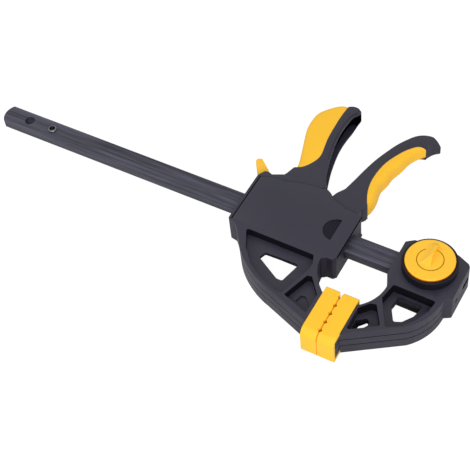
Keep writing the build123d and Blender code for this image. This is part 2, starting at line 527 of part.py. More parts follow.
with BuildPart() as head_body:
    # casing block and the root of the grip
    with BuildSketch(head.offset(-CASE_BASE)):
        with BuildLine():
            FilletPolyline(*CASE, radius=CORNER_R, close=True)
        make_face()
        with BuildLine():
            Spline(*JAW_OUTER)
            Polyline(JAW_OUTER[-1], (PAD_BACK, JAW_FOOT_Y), (PAD_BACK, JAW_INNER[-1][1]), JAW_INNER[-1])
            Spline(*JAW_INNER)
            Line(JAW_INNER[0], JAW_OUTER[0])
        make_face()
    extrude(amount=DEPTH)
    # grip and its root; the grip is a channel closed at its tip
    with BuildSketch(grip.offset(-GRIP_HALF)):
        with BuildLine():
            FilletPolyline(*ROOT, radius=CORNER_R, close=True)
        make_face()
        with BuildLine():
            Spline(*grip_points(GRIP_BACK))
            ThreePointArc(*grip_points([GRIP_BACK[-1], GRIP_TIP, GRIP_NOSE]))
            Spline(*grip_points(GRIP_FRONT))
            Polyline(*grip_points([GRIP_FRONT[-1], GRIP_HEEL, GRIP_BACK[0]]))
        make_face()
    extrude(amount=2 * GRIP_HALF)
    with BuildSketch(grip.offset(-CHANNEL_HALF)):
        with BuildLine():
            channel_back = [(x + GRIP_WALL, y) for x, y in GRIP_BACK[3:-1]] + CHANNEL_TIP[:1]
            Spline(*grip_points(channel_back))
            ThreePointArc(*grip_points(CHANNEL_TIP))
            Polyline(*grip_points([CHANNEL_TIP[-1], (CHANNEL_MOUTH, CHANNEL_TIP[-1][1]),
                                   (CHANNEL_MOUTH, CHANNEL_HEEL[1]), CHANNEL_HEEL, channel_back[0]]))
        make_face()
    extrude(amount=2 * CHANNEL_HALF, mode=Mode.SUBTRACT)
    bevel_low, bevel_high = (y for x, y in grip_points([(0, BEVEL_LOW), GRIP_TIP]))
    with BuildSketch(along(grip, bevel_low)):
        with BuildLine():
            Polyline((GRIP_NOSE[0] + SLIDE_GAP, 0), (GRIP_NOSE[0] - TIP_BEVEL, -GRIP_HALF),
                     (GRIP_NOSE[0] + TIP_BEVEL, -GRIP_HALF), (GRIP_NOSE[0] + TIP_BEVEL, 0), close=True)
        make_face()
    extrude(amount=bevel_low - bevel_high, mode=Mode.SUBTRACT)
    # stepped rim along both front edges of the grip
    rim = grip_points([(x - RIM_WIDTH, y) for x, y in GRIP_FRONT[1:-1]])
    for low in (GRIP_HALF - RIM_STEP, -GRIP_HALF):
        with BuildSketch(grip.offset(low)):
            with BuildLine():
                Spline(*rim)
                Polyline(rim[-1], (CHANNEL_MOUTH, rim[-1][1]), (CHANNEL_MOUTH, GRIP_REACH),
                         (rim[0][0], GRIP_REACH), rim[0])
            make_face()
        extrude(amount=RIM_STEP, mode=Mode.SUBTRACT)
    # mechanism space and the sweep of the trigger's root
    with BuildSketch(head.offset(-INSIDE_BASE)):
        with BuildLine():
            FilletPolyline(*CAVITY, radius=CAVITY_R, close=True)
        make_face()
    extrude(amount=INSIDE, mode=Mode.SUBTRACT)
    with BuildSketch(grip.offset(-TRIGGER_HALF - SLIDE_GAP)):
        with BuildLine():
            Polyline(*RELIEF, close=True)
        make_face()
    extrude(amount=2 * (TRIGGER_HALF + SLIDE_GAP), mode=Mode.SUBTRACT)
    # screw bosses and the drive spring's rib
    with BuildSketch(head.offset(-INSIDE_BASE)):
        with Locations(*SCREWS):
            Circle(BOSS_R)
    extrude(amount=INSIDE)
    rib_half = DRIVE_SPRING_R + SPRING_RIB_THICK
    with BuildSketch(head.offset(-rib_half)):
        with BuildLine():
            Polyline((SPRING_RIB_X, BAR_HALF_Y + RIB_GAP), (SPRING_RIB_X, SPRING_RIB_TOP),
                     (SPRING_RIB_X + SPRING_RIB_THICK, SPRING_RIB_TOP),
                     (SPRING_RIB_X + SPRING_RIB_THICK, BAR_HALF_Y + RIB_GAP), close=True)
        make_face()
    extrude(amount=2 * rib_half)
    # seats of the covers
    for low, amount in ((CASE_TOP, -COVER_THICK), (-CASE_BASE, COVER_THICK)):
        with BuildSketch(head.offset(low)):
            with BuildLine():
                Polyline(*COVER, close=True)
            make_face()
            offset(amount=SEAT_GAP)
        extrude(amount=amount, mode=Mode.SUBTRACT)
    # pockets, web and windows of the jaw
    for low, high in ((WEB_TOP, CASE_TOP), (-CASE_BASE, WEB_BASE)):
        with BuildSketch(head.offset(low)):
            with BuildLine():
                FilletPolyline(*POCKET, radius=POCKET_R, close=True)
            make_face()
            with BuildLine():
                FilletPolyline(*SMALL_POCKET, radius=CORNER_R, close=True)
            make_face()
        extrude(amount=high - low, mode=Mode.SUBTRACT)
    with BuildSketch(head.offset(WEB_BASE)):
        with BuildLine():
            FilletPolyline(*WINDOW, radius=POCKET_R, close=True)
        make_face()
    extrude(amount=WEB_TOP - WEB_BASE, mode=Mode.SUBTRACT)
    with BuildSketch(head.offset(WEB_TOP)):
        with BuildLine():
            FilletPolyline(*SMALL_RECESS, radius=CORNER_R, close=True)
        make_face()
    extrude(amount=-RECESS_DEPTH, mode=Mode.SUBTRACT)
    # face plate inside the pad
    plate_face = FACE_X - REST_GAP / 2 - PAD_FACE - SEAT_GAP
    with BuildSketch(head.offset(-TONGUE_BASE)):
        with Locations(((plate_face + PAD_BACK) / 2, (PAD_HEADROOM + PAD_FOOT) / 2)):
            Rectangle(plate_face - PAD_BACK, PAD_HEADROOM - PAD_FOOT)
    extrude(amount=TONGUE_BASE + TONGUE_TOP)
    # way for the bar, seat of the brake spring, slot of the release tab
    with BuildSketch(across(head, -SLIDE_GAP)):
        Rectangle(BAR_WIDTH + 2 * SLIDE_GAP, BAR_THICK + 2 * SLIDE_GAP)
    extrude(amount=HEAD_LENGTH + 2 * SLIDE_GAP, mode=Mode.SUBTRACT)
    with BuildSketch(across(head, WALL, BRAKE_SPRING_Y)):
        Circle(BRAKE_SPRING_R + SPRING_WIRE_R + SLIDE_GAP)
    extrude(amount=-BRAKE_POCKET, mode=Mode.SUBTRACT)
    with BuildSketch(head.offset(-TAB_HALF - SLIDE_GAP)):
        with BuildLine():
            Polyline(*TAB_SLOT, close=True)
        make_face()
    extrude(amount=2 * (TAB_HALF + SLIDE_GAP), mode=Mode.SUBTRACT)
    # pilot holes of the rear cover's screws
    with BuildSketch(head.offset(-INSIDE_BASE)):
        with Locations(*SCREWS):
            Circle(SCREW_R + SEAT_GAP)
    extrude(amount=SCREW_LENGTH, mode=Mode.SUBTRACT)
finish(head_body.part, "head_body")


def cover(outer, inner):
    """Cover plate between two heights of the head, with the blind seat of the trigger pin inside it."""
    with BuildPart() as plate:
        with BuildSketch(head.offset(min(outer, inner))):
            with BuildLine():
                Polyline(*COVER, close=True)
            make_face()
        extrude(amount=abs(outer - inner))
        with BuildSketch(head.offset(inner)):
            with Locations((PIVOT_X, PIVOT_Y)):
                Circle(PIVOT_PIN_R + SEAT_GAP)
        extrude(amount=PIN_BLIND if outer > inner else -PIN_BLIND, mode=Mode.SUBTRACT)
    return plate


# half-round thumb recess, deepest at its straight side
with BuildPart() as thumb:
    thumb_x = HEAD_LENGTH - THUMB_END
    with BuildSketch(head.offset(CASE_TOP)):
        with BuildLine():
            Line((thumb_x, THUMB_Y + THUMB_R), (thumb_x, THUMB_Y - THUMB_R))
            ThreePointArc((thumb_x, THUMB_Y + THUMB_R), (thumb_x - THUMB_R, THUMB_Y),
                          (thumb_x, THUMB_Y - THUMB_R))
        make_face()
    extrude(amount=-THUMB_DEPTH)
    with BuildSketch(along(head, THUMB_Y - THUMB_R, CASE_TOP)):
        with BuildLine():
            Polyline((thumb_x - THUMB_R, 0), (thumb_x, 0), (thumb_x, -THUMB_DEPTH),
                     (thumb_x - THUMB_R, -THUMB_SHALLOW), close=True)
        make_face()
    extrude(amount=-2 * THUMB_R, mode=Mode.INTERSECT)

with BuildPart() as cover_front:
    add(cover(CASE_TOP, INSIDE_TOP).part)
    add(thumb.part, mode=Mode.SUBTRACT)
finish(cover_front.part, "cover_front")

with BuildPart() as cover_rear:
    add(cover(-CASE_BASE, -INSIDE_BASE).part)
    with Locations(Plane(head.origin - Vector(0, 0, CASE_BASE), x_dir=(1, 0, 0), z_dir=(0, 0, -1))):
        with Locations(*[(x, -y) for x, y in SCREWS]):
            CounterBoreHole(SCREW_R + SEAT_GAP, SCREW_HEAD_R + SEAT_GAP, SCREW_HEAD)
finish(cover_rear.part, "cover_rear")

with BuildPart() as cover_screws:
    with BuildSketch(head.offset(-CASE_BASE + SCREW_SINK)):
        with Locations(*SCREWS):
            Circle(SCREW_HEAD_R)
    extrude(amount=SCREW_HEAD - SCREW_SINK - SEAT_GAP)
    with BuildSketch(head.offset(-CASE_BASE + SCREW_HEAD - SEAT_GAP)):
        with Locations(*SCREWS):
            Circle(SCREW_R)
    extrude(amount=SCREW_LENGTH)
    with BuildSketch(head.offset(-CASE_BASE + SCREW_SINK)):
        for turn in (0, 90):
            with Locations(*SCREWS):
                Rectangle(2 * SCREW_R, SCREW_CROSS, rotation=turn)
    extrude(amount=SCREW_CROSS, mode=Mode.SUBTRACT)
finish(cover_screws.part, "cover_screws")

with BuildPart() as grip_overmould:
    with BuildSketch(grip.offset(-GRIP_HALF)):
        with BuildLine():
            Spline(*grip_points(SOFT_BACK))
            Line(*grip_points([SOFT_BACK[-1], GRIP_BACK[-1]]))
            Spline(*grip_points(GRIP_BACK))
        make_face()
    extrude(amount=2 * GRIP_HALF)
    back_rims = grip_overmould.edges().filter_by(lambda edge: edge.length > GRIP_REACH / 2)
    fillet(back_rims.sort_by(Axis.X)[:2], GRIP_CROWN_R)
    add(head_body.part, mode=Mode.SUBTRACT)
finish(grip_overmould.part, "grip_overmould")

finish(jaw_pad(head, PAD_BACK, FACE_X - REST_GAP / 2), "moving_jaw_pad")

with BuildPart() as trigger_pin:
    with BuildSketch(head.offset(-INSIDE_BASE - PIN_BLIND + SEAT_GAP)):
        with Locations((PIVOT_X, PIVOT_Y)):
            Circle(PIVOT_PIN_R)
    extrude(amount=INSIDE + 2 * PIN_BLIND - 2 * SEAT_GAP)
finish(trigger_pin.part, "trigger_pin")

# ================================ trigger ===========================================================
# Lever: drawn up from LEVER_Y, X from the pivot.
LEVER_TOP = (23.0, 71.9)
TRIGGER_BACK = [(-7.9, 16.0), (-5.3, 28.4), (-2.5, 38.7), (0.7, 47.4), (4.2, 55.5), (8.9, 63.3),
                (13.0, 68.3), (18.1, 71.2), LEVER_TOP, (27.0, 70.9), (29.6, 69.2)]
TRIGGER_END = [(29.6, 69.2), (30.2, 68.4), (29.4, 67.8)]
TRIGGER_LIP = [(29.4, 67.8), (27.4, 67.5), (25.4, 66.7), (23.8, 65.2), (22.6, 61.8)]
TRIGGER_LINE = [(22.6, 61.8), (20.0, 61.2), (17.2, 59.8), (14.6, 57.2), (11.3, 52.9), (7.7, 46.4),
                (4.3, 38.1), (2.5, 28.3), (2.6, 17.1), (5.3, 7.1), (9.2, -0.4)]
TRIGGER_FRONT = [(9.2, -0.4), (10.7, 6.0), (9.9, 14.5), (9.0, 20.6), (10.4, 27.5), (11.1, 34.5),
                 (13.4, 41.7), (14.8, 48.0), (16.8, 54.0), (19.6, 58.6), (22.6, 61.8)]
FORK_TOP = BAR_HALF_Y + FORK_OVER
# Root of the trigger: X from the pivot, Y from the bar's centre line.
TRIGGER_ROOT = [(8.6, 27.4), (6.8, 25.0), (7.0, 17.9), (7.6, FORK_TOP), (-3.5, FORK_TOP), (-5.2, 18.4),
                (-16.2, 24.0), (-13.6, 31.2), (-10.1, 36.6)]
SLOPE_START = 23.6                   # slopes of the tip's two sides, X from the pivot
SLOPE_END = 30.6
FORK_SHOULDER = 4.0                  # of the fork's arms above the cam nose
FORK_FRONT = 7.9
FORK_BACK = -3.0


def lever_points(points):
    """Points of the lever in its datum, between its start and the tip."""
    return stretched(points, LEVER_Y, TRIGGER_REACH, LEVER_TOP[1])


with BuildPart() as trigger:
    with BuildSketch(lever.offset(-TRIGGER_HALF)):
        with BuildLine():
            Spline(*lever_points(TRIGGER_BACK))
            ThreePointArc(*lever_points(TRIGGER_END))
            Spline(*lever_points(TRIGGER_LIP))
            Spline(*lever_points(TRIGGER_LINE))
            Polyline(lever_points(TRIGGER_LINE)[-1], *TRIGGER_ROOT, lever_points(TRIGGER_BACK)[0])
        make_face()
    extrude(amount=2 * TRIGGER_HALF)
    # both sides of the tip slope towards its end
    slope_low = lever_points(TRIGGER_LINE)[3][1]
    with BuildSketch(along(lever, slope_low)):
        for side in (1, -1):
            with BuildLine():
                Polyline((SLOPE_START, side * TRIGGER_HALF), (SLOPE_END, side * TIP_HALF),
                         (SLOPE_END, side * 2 * TRIGGER_HALF), (SLOPE_START, side * 2 * TRIGGER_HALF),
                         close=True)
            make_face()
    extrude(amount=slope_low - TRIGGER_REACH - SLIDE_GAP, mode=Mode.SUBTRACT)
    # fork over the bar: two arms with the cam noses and the pivot bosses
    with BuildSketch(pivot.offset(-TRIGGER_HALF)):
        with BuildLine():
            Polyline((FORK_BACK, NOSE_Y + FORK_SHOULDER), (FORK_FRONT, NOSE_Y + FORK_SHOULDER),
                     (PIVOT_BOSS_R, 0), (-PIVOT_BOSS_R, 0), (NOSE_X, NOSE_Y - NOSE_R), close=True)
        make_face()
        with Locations((NOSE_X, NOSE_Y)):
            Circle(NOSE_R)
        Circle(PIVOT_BOSS_R)
    extrude(amount=2 * TRIGGER_HALF)
    with BuildSketch(pivot.offset(-FORK_INNER)):
        with Locations((0, (FORK_TOP - PIVOT_Y - 2 * PIVOT_BOSS_R) / 2)):
            Rectangle(2 * FORK_HALF, FORK_TOP - PIVOT_Y + 2 * PIVOT_BOSS_R)
    extrude(amount=2 * FORK_INNER, mode=Mode.SUBTRACT)
    with BuildSketch(pivot.offset(-TRIGGER_HALF)):
        Circle(PIVOT_PIN_R + BORE_GAP)
    extrude(amount=2 * TRIGGER_HALF, mode=Mode.SUBTRACT)
finish(trigger.part, "trigger")

with BuildPart() as trigger_grip:
    with BuildSketch(lever.offset(-TRIGGER_HALF)):
        with BuildLine():
            Spline(*lever_points(TRIGGER_LINE))
            Spline(*lever_points(TRIGGER_FRONT))
        make_face()
    extrude(amount=2 * TRIGGER_HALF)
    front_rims = trigger_grip.edges().filter_by(lambda edge: edge.length > TRIGGER_REACH / 2)
    fillet(front_rims.sort_by(Axis.X)[-2:], LEVER_CROWN_R)
finish(trigger_grip.part, "trigger_grip")

# ================================ plates and springs ================================================
DRIVE_FACE = PIVOT_X + NOSE_X - NOSE_R - SLIDE_GAP
DRIVE_BACK = DRIVE_FACE - PLATE_THICK

with BuildPart() as drive_plate:
    with BuildSketch(across(head, DRIVE_BACK)):
        with Locations(((DRIVE_TOP + DRIVE_LOW) / 2, 0)):
            Rectangle(DRIVE_TOP - DRIVE_LOW, 2 * PLATE_HALF)
        Rectangle(BAR_WIDTH + 2 * SLIDE_GAP, BAR_THICK + 2 * SLIDE_GAP, mode=Mode.SUBTRACT)
    extrude(amount=PLATE_THICK)
finish(drive_plate.part, "drive_plate")

SPRING_START = SPRING_RIB_X + SPRING_RIB_THICK
finish(coil(head, (SPRING_START + SEAT_GAP, DRIVE_SPRING_Y, 0), (1, 0, 0),
            DRIVE_BACK - SPRING_START - 2 * SEAT_GAP, DRIVE_SPRING_R, DRIVE_SPRING_TURNS), "drive_spring")

# The brake plate hangs from its pivot, tilted so that its free end leans towards the fixed jaw.
tilt = radians(BRAKE_TILT)
brake_top = head.from_local_coords(Vector(BRAKE_X, BRAKE_Y, 0))
brake_down = Vector(sin(tilt), -cos(tilt), 0)
brake_face = Plane(brake_top, x_dir=brake_down, z_dir=brake_down.cross(Vector(0, 0, 1)))
BRAKE_LENGTH = (BRAKE_Y - BRAKE_LOW) / cos(tilt)
BRAKE_SLOT = (BAR_WIDTH + PLATE_THICK * sin(tilt)) / cos(tilt) + 2 * SEAT_GAP

with BuildPart() as brake_plate:
    with BuildSketch(brake_face.offset(-PLATE_THICK / 2)):
        with Locations((BRAKE_LENGTH / 2, 0)):
            Rectangle(BRAKE_LENGTH, 2 * PLATE_HALF)
        with Locations((BRAKE_Y / cos(tilt), 0)):
            Rectangle(BRAKE_SLOT, BAR_THICK + 2 * SLIDE_GAP, mode=Mode.SUBTRACT)
        # narrow neck that carries the tab
        with Locations((0, 0)):
            Rectangle(2 * BRAKE_NECK_DOWN, 2 * PLATE_HALF, mode=Mode.SUBTRACT)
        with Locations(((BRAKE_NECK_DOWN - BRAKE_NECK_UP) / 2, 0)):
            Rectangle(BRAKE_NECK_DOWN + BRAKE_NECK_UP, 2 * BRAKE_NECK_HALF)
    extrude(amount=PLATE_THICK)
finish(brake_plate.part, "brake_plate")

TAB = [(-9.4, 33.8), (-9.4, 36.1), (-6.7, 37.7), (2.4, 30.3), (4.4, 27.6), (7.2, 22.6), (2.8, 22.1),
       (-2.5, 24.8), (-7.3, 30.9)]
with BuildPart() as release_tab:
    with BuildSketch(head.offset(-TAB_HALF)):
        with BuildLine():
            FilletPolyline(*TAB, radius=CORNER_R, close=True)
        make_face()
        with Locations((BRAKE_X, BRAKE_Y)):
            Circle(BARREL_R)
    extrude(amount=2 * TAB_HALF)
    add(brake_plate.part, mode=Mode.SUBTRACT)
finish(release_tab.part, "release_tab")

BRAKE_SEAT = BRAKE_X + (BRAKE_Y - BRAKE_SPRING_Y - BRAKE_SPRING_R) * tan(tilt) - PLATE_THICK / 2 / cos(tilt)
SPRING_SEAT = WALL - BRAKE_POCKET + SEAT_GAP
finish(coil(head, (SPRING_SEAT, BRAKE_SPRING_Y, 0), (1, 0, 0), BRAKE_SEAT - SPRING_SEAT - SEAT_GAP,
            BRAKE_SPRING_R, BRAKE_SPRING_TURNS), "brake_spring")
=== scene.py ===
"""Quick release bar clamp: the finish of its surfaces, the studio and the camera."""
import json
import math

import bpy
from mathutils import Matrix, Vector


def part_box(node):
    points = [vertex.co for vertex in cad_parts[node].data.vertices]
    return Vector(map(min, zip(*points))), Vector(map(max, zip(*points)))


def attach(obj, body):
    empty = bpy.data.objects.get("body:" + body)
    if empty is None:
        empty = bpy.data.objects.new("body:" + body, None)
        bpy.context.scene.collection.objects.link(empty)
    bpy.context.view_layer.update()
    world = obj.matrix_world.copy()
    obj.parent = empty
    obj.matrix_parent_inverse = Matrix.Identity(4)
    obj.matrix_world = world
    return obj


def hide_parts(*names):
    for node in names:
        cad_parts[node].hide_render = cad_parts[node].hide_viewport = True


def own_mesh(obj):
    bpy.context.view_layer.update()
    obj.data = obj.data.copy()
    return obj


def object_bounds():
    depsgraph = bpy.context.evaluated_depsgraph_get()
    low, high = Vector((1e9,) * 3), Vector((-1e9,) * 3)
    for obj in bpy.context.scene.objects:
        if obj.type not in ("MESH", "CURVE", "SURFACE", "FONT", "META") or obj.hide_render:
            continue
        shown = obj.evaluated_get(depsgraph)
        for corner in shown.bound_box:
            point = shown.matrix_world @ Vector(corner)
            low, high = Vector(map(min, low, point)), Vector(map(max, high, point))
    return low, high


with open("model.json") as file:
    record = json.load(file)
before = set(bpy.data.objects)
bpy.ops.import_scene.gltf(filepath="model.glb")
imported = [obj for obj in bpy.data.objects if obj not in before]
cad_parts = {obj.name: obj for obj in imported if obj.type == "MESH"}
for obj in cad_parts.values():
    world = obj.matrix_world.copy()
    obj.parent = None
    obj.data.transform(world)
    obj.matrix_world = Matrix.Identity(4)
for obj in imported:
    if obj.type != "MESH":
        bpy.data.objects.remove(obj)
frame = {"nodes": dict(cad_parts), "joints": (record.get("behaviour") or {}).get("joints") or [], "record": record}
cad_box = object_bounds()
nodes = frame["nodes"]
MM = 0.001

# ---- places, in metres -----------------------------------------------------------------------------
COVER_LOW, COVER_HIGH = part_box("cover_front")
KNOB_LOW, KNOB_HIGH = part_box("lock_knob")
HEAD_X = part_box("head_body")[0][0]        # left face of the casing
COVER_X = COVER_HIGH[0]                   # right end of the cover and the casing
END_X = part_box("fixed_jaw")[1][0]         # outer face of the fixed jaw
KNOB_X = (KNOB_LOW[0] + KNOB_HIGH[0]) / 2
KNOB_RADIUS = (KNOB_HIGH[0] - KNOB_LOW[0]) / 2
BAR_Y = (KNOB_LOW[1] + KNOB_HIGH[1]) / 2  # the bar's centre line
BAR_Z = (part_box("bar")[0][2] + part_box("bar")[1][2]) / 2
FACE_X = (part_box("moving_jaw_pad")[1][0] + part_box("fixed_jaw_pad")[0][0]) / 2  # where the pads meet

node_slot = {entry["node"]: entry["material_slot"] for entry in frame["record"]["subparts"]}
node_body = {}
for body, members in frame["record"]["behaviour"]["bodies"].items():
    for member in members:
        node_body[member] = body

# ---- shaping tools ---------------------------------------------------------------------------------
MERGE = 1e-6                 # metres; points of a CAD node this close together are one
MERGE_FINE = 1e-7            # the same for points that roundings bring together
FLAT = math.radians(1.0)     # faces that meet at less than this are one face
SHARP = math.radians(32.0)   # edges that turn by more than this are rounded
SMOOTH = math.radians(35.0)  # edges that turn by less than this are shaded smooth
ROUND_STEPS = 3              # faces across a rounded edge


def only(piece):
    """Select this piece alone, and make it the active one."""
    bpy.ops.object.select_all(action="DESELECT")
    piece.select_set(True)
    bpy.context.view_layer.objects.active = piece


def merge_points(piece, distance, flatten=False):
    """Merge points that lie this close together, and join flat faces if asked."""
    only(piece)
    bpy.ops.object.mode_set(mode="EDIT")
    bpy.ops.mesh.select_all(action="SELECT")
    bpy.ops.mesh.remove_doubles(threshold=distance)
    if flatten:
        bpy.ops.mesh.dissolve_limited(angle_limit=FLAT)
    bpy.ops.object.mode_set(mode="OBJECT")


def smooth(piece):
    """Shade a piece smooth except at its sharp edges."""
    only(piece)
    bpy.ops.object.shade_smooth_by_angle(angle=SMOOTH)


def clean_copy(node, name):
    """A copy of a CAD node with its faces joined at their edges."""
    piece = bpy.data.objects.new(name, nodes[node].data.copy())
    bpy.context.scene.collection.objects.link(piece)
    merge_points(piece, MERGE, flatten=True)
    bpy.ops.mesh.customdata_custom_splitnormals_clear()
    return piece


def softened(node, width):
    """A clean copy of a CAD node with its edges rounded by width millimetres."""
    piece = clean_copy(node, f"{node}_moulded")
    rounding = piece.modifiers.new("Rounding", "BEVEL")
    rounding.width = width * MM
    rounding.segments = ROUND_STEPS
    rounding.limit_method = "ANGLE"
    rounding.angle_limit = SHARP
    bpy.ops.object.modifier_apply(modifier=rounding.name)
    if node in MEETING:
        merge_points(piece, MERGE_FINE)
    smooth(piece)
    return piece


def dress(piece, material, body):
    """Give a piece its material and the body it moves with."""
    piece.data.materials.clear()
    piece.data.materials.append(material)
    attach(piece, body)


# ---- material tools --------------------------------------------------------------------------------
MIX_COLOUR_INPUTS = (0, 6, 7)    # places of a mix node's factor and its two colours
MIX_COLOUR_OUTPUT = 2
ALL_SHEEN = 1.0


def shade(colour, factor):
    """A colour made lighter or darker, with no channel above 1."""
    return tuple(min(1.0, channel * factor) for channel in colour)


def feed(tree, socket, value):
    """Give a socket a value, or link it to another node's output."""
    if isinstance(value, bpy.types.NodeSocket):
        tree.links.new(value, socket)
    else:
        socket.default_value = value


def add_node(tree, kind, inputs=None, **settings):
    """A new node with these settings; each of its inputs is a value or another node's output."""
    made = tree.nodes.new(kind)
    for key, value in settings.items():
        setattr(made, key, value)
    for socket, value in (inputs or {}).items():
        feed(tree, made.inputs[socket], value)
    return made


class Finish:
    """A principled material with noise on object coordinates for its colour, gloss and bump."""

    def __init__(self, name, colour, roughness, metallic=0.0, specular=0.5):
        self.material = bpy.data.materials.new(name)
        self.material.use_nodes = True
        self.tree = self.material.node_tree
        self.shader = self.tree.nodes["Principled BSDF"]
        self.colour = self.shader.inputs["Base Color"]
        self.sheen = self.shader.inputs["Specular IOR Level"]
        self.gloss = self.shader.inputs["Roughness"]
        self.colour.default_value = (*colour, 1)
        self.sheen.default_value = specular
        self.gloss.default_value = roughness
        self.shader.inputs["Metallic"].default_value = metallic
        self.coordinates = self.node("ShaderNodeTexCoord").outputs["Object"]

    def node(self, kind, inputs=None, **settings):
        """A new node of this material."""
        return add_node(self.tree, kind, inputs, **settings)

    def noise(self, scale, detail=3.0, stretch=(1, 1, 1), rough=0.5):
        """Noise on object coordinates; a low stretch draws it out along that axis."""
        mapping = self.node("ShaderNodeMapping", {"Vector": self.coordinates, "Scale": stretch})
        noise = self.node("ShaderNodeTexNoise", {"Vector": mapping.outputs["Vector"], "Scale": scale,
                                                 "Detail": detail, "Roughness": rough})
        return noise.outputs["Fac"]

    def ramp(self, source, span, first, last):
        """Spread the span of source over two colours."""
        ramp = self.node("ShaderNodeValToRGB", {"Fac": source})
        for element, position, colour in zip(ramp.color_ramp.elements, span, (first, last)):
            element.position = position
            element.color = (*colour, 1)
        return ramp.outputs["Color"]

    def colour_from(self, source, span, colour, shades):
        """Spread the span of source over two shades of a colour."""
        first, last = (shade(colour, factor) for factor in shades)
        feed(self.tree, self.colour, self.ramp(source, span, first, last))

    def gloss_from(self, source, span, roughness):
        """Spread the span of source over two values of roughness."""
        first, last = roughness
        feed(self.tree, self.gloss, self.ramp(source, span, (first,) * 3, (last,) * 3))

    def bump_from(self, source, distance, strength):
        """Grain that is distance millimetres deep."""
        bump = self.node("ShaderNodeBump", {"Distance": distance * MM, "Strength": strength,
                                            "Height": source})
        feed(self.tree, self.shader.inputs["Normal"], bump.outputs["Normal"])

    def math(self, operation, first, second=0.0):
        """One step of arithmetic on numbers or other nodes' outputs."""
        return self.node("ShaderNodeMath", {0: first, 1: second}, operation=operation).outputs[0]

    def place(self):
        """X, Y and Z of the object coordinates."""
        split = self.node("ShaderNodeSeparateXYZ", {0: self.coordinates})
        return split.outputs["X"], split.outputs["Y"], split.outputs["Z"]

    def distance(self, coordinate, value):
        """How far a coordinate lies from a value."""
        return self.math("ABSOLUTE", self.math("SUBTRACT", coordinate, value))

    def inside(self, limits):
        """1 where each coordinate lies between its two limits."""
        mask = 1.0
        for coordinate, (low, high) in limits.items():
            mask = self.math("MULTIPLY", mask, self.math("GREATER_THAN", coordinate, low))
            mask = self.math("MULTIPLY", mask, self.math("LESS_THAN", coordinate, high))
        return mask

    def largest(self, masks):
        """1 where at least one of the masks is 1."""
        result = 0.0
        for mask in masks:
            result = self.math("MAXIMUM", result, mask)
        return result

    def paint_shade_where(self, mask, tint, sheen_loss=ALL_SHEEN):
        """Paint shade where mask is 1: multiply the base colour by tint and take off this share of the sheen."""
        level = self.sheen.links[0].from_socket if self.sheen.links else self.sheen.default_value
        plain = self.math("SUBTRACT", 1.0, self.math("MULTIPLY", mask, sheen_loss))
        feed(self.tree, self.sheen, self.math("MULTIPLY", plain, level))
        mix = self.node("ShaderNodeMix", data_type="RGBA", blend_type="MULTIPLY")
        factor, first, last = (mix.inputs[place] for place in MIX_COLOUR_INPUTS)
        feed(self.tree, factor, mask)
        feed(self.tree, first, self.colour.links[0].from_socket)
        feed(self.tree, last, (*tint, 1))
        feed(self.tree, self.colour, mix.outputs[MIX_COLOUR_OUTPUT])


# ---- colours ---------------------------------------------------------------------------------------
BLACK = (0.0170, 0.0150, 0.030)
COVER_BLACK = (0.0150, 0.0135, 0.028)
YELLOW = (0.97, 0.53, 0.020)
OXIDE = (0.040, 0.039, 0.056)
PIN_GREY = (0.20, 0.20, 0.22)
PLATE_GREY = (0.28, 0.28, 0.30)
SPRING_GREY = (0.5, 0.5, 0.52)
SCREW_GREY = (0.30, 0.30, 0.32)
WHITE = (1.0, 1.0, 1.0, 1.0)

# painted shade: tints for grooves, seams, recesses, pocket walls and the knob's turned-down edge
SHADOW = (0.10, 0.10, 0.10)
EDGE_SHADOW = (0.14, 0.14, 0.14)
RECESS_SHADE = (0.5, 0.5, 0.5)
WALL_SHADE = (0.32, 0.30, 0.26)
RING_SHADE = (0.42, 0.34, 0.30)
PAD_SHADE = (0.80, 0.52, 0.30)
AMBER_SHADE = (0.88, 0.62, 0.40)
BROWN_SHADE = (0.45, 0.26, 0.16)
RECESS_SHEEN_LOSS = 0.7      # shares of the sheen that a painted shade takes off
YELLOW_SHEEN_LOSS = 0.5
COLLAR_TONE = 0.4            # the lock collar against the other black mouldings

# ---- painted shade of seams, grooves and recesses --------------------------------------------------
SEAM = 0.06 * MM             # below a surface, where the painted shade of its seams and recesses begins
SEAM_DEPTH = 0.6 * MM        # reach of the painted shade of the front cover's seam, in and to the sides
LEFT_SEAM = 0.6 * MM         # width of the painted shade of the seam left of the front cover
LEFT_SEAM_END = 20.0 * MM    # its upper end, from the bar's centre line

BAND_HALF = 3.1 * MM         # half height of the band along the jaws' outer walls
BAND_LINE = 0.28 * MM        # half width of its lines, grooves painted dark as shade
BAND_START = 21.0 * MM       # from the bar's centre line
THROAT_START = 62.0 * MM     # throat between the jaws, without a band: from the casing's left face
THROAT_END = 12.0 * MM       # to the knob's axis
THROAT_DEPTH = 56.0 * MM     # from the bar's centre line
HOLLOW_START = 31.0 * MM     # the grip's channel, painted dark as shade, from the bar's centre line
HOLLOW_HALF = 6.7 * MM       # half its width
END_RECESS = 3.2 * MM        # slot and hole in the fixed jaw's outer face, painted dark as shade
END_RECESS_HALF = 2.0 * MM   # half their height
END_RECESS_REACH = 11.0 * MM     # to each side of the bar's centre line

HEAD_WEB = 4.15 * MM         # just past the webs of the two jaws, from the bar's mid-plane
FIXED_WEB = 2.7 * MM
WALL_TOP = 9.9 * MM          # just short of the walls' rims
# walls of the pockets, painted dark as shade: datum, web, then X from the datum and Y from the bar's centre line,
# in mm
POCKET_WALLS = ((HEAD_X, HEAD_WEB, (15.0, 64.5), (-27.0, -20.5)),
                (COVER_X, HEAD_WEB, (-24.0, -9.5), (-57.0, -38.0)),
                (COVER_X, HEAD_WEB, (-9.5, 1.9), (-50.0, -37.5)),
                (KNOB_X, FIXED_WEB, (-17.5, 14.0), (-33.0, -20.5)),
                (KNOB_X, FIXED_WEB, (-17.5, 2.0), (-48.0, -33.0)),
                (KNOB_X, FIXED_WEB, (-26.3, -9.0), (-54.0, -39.0)))

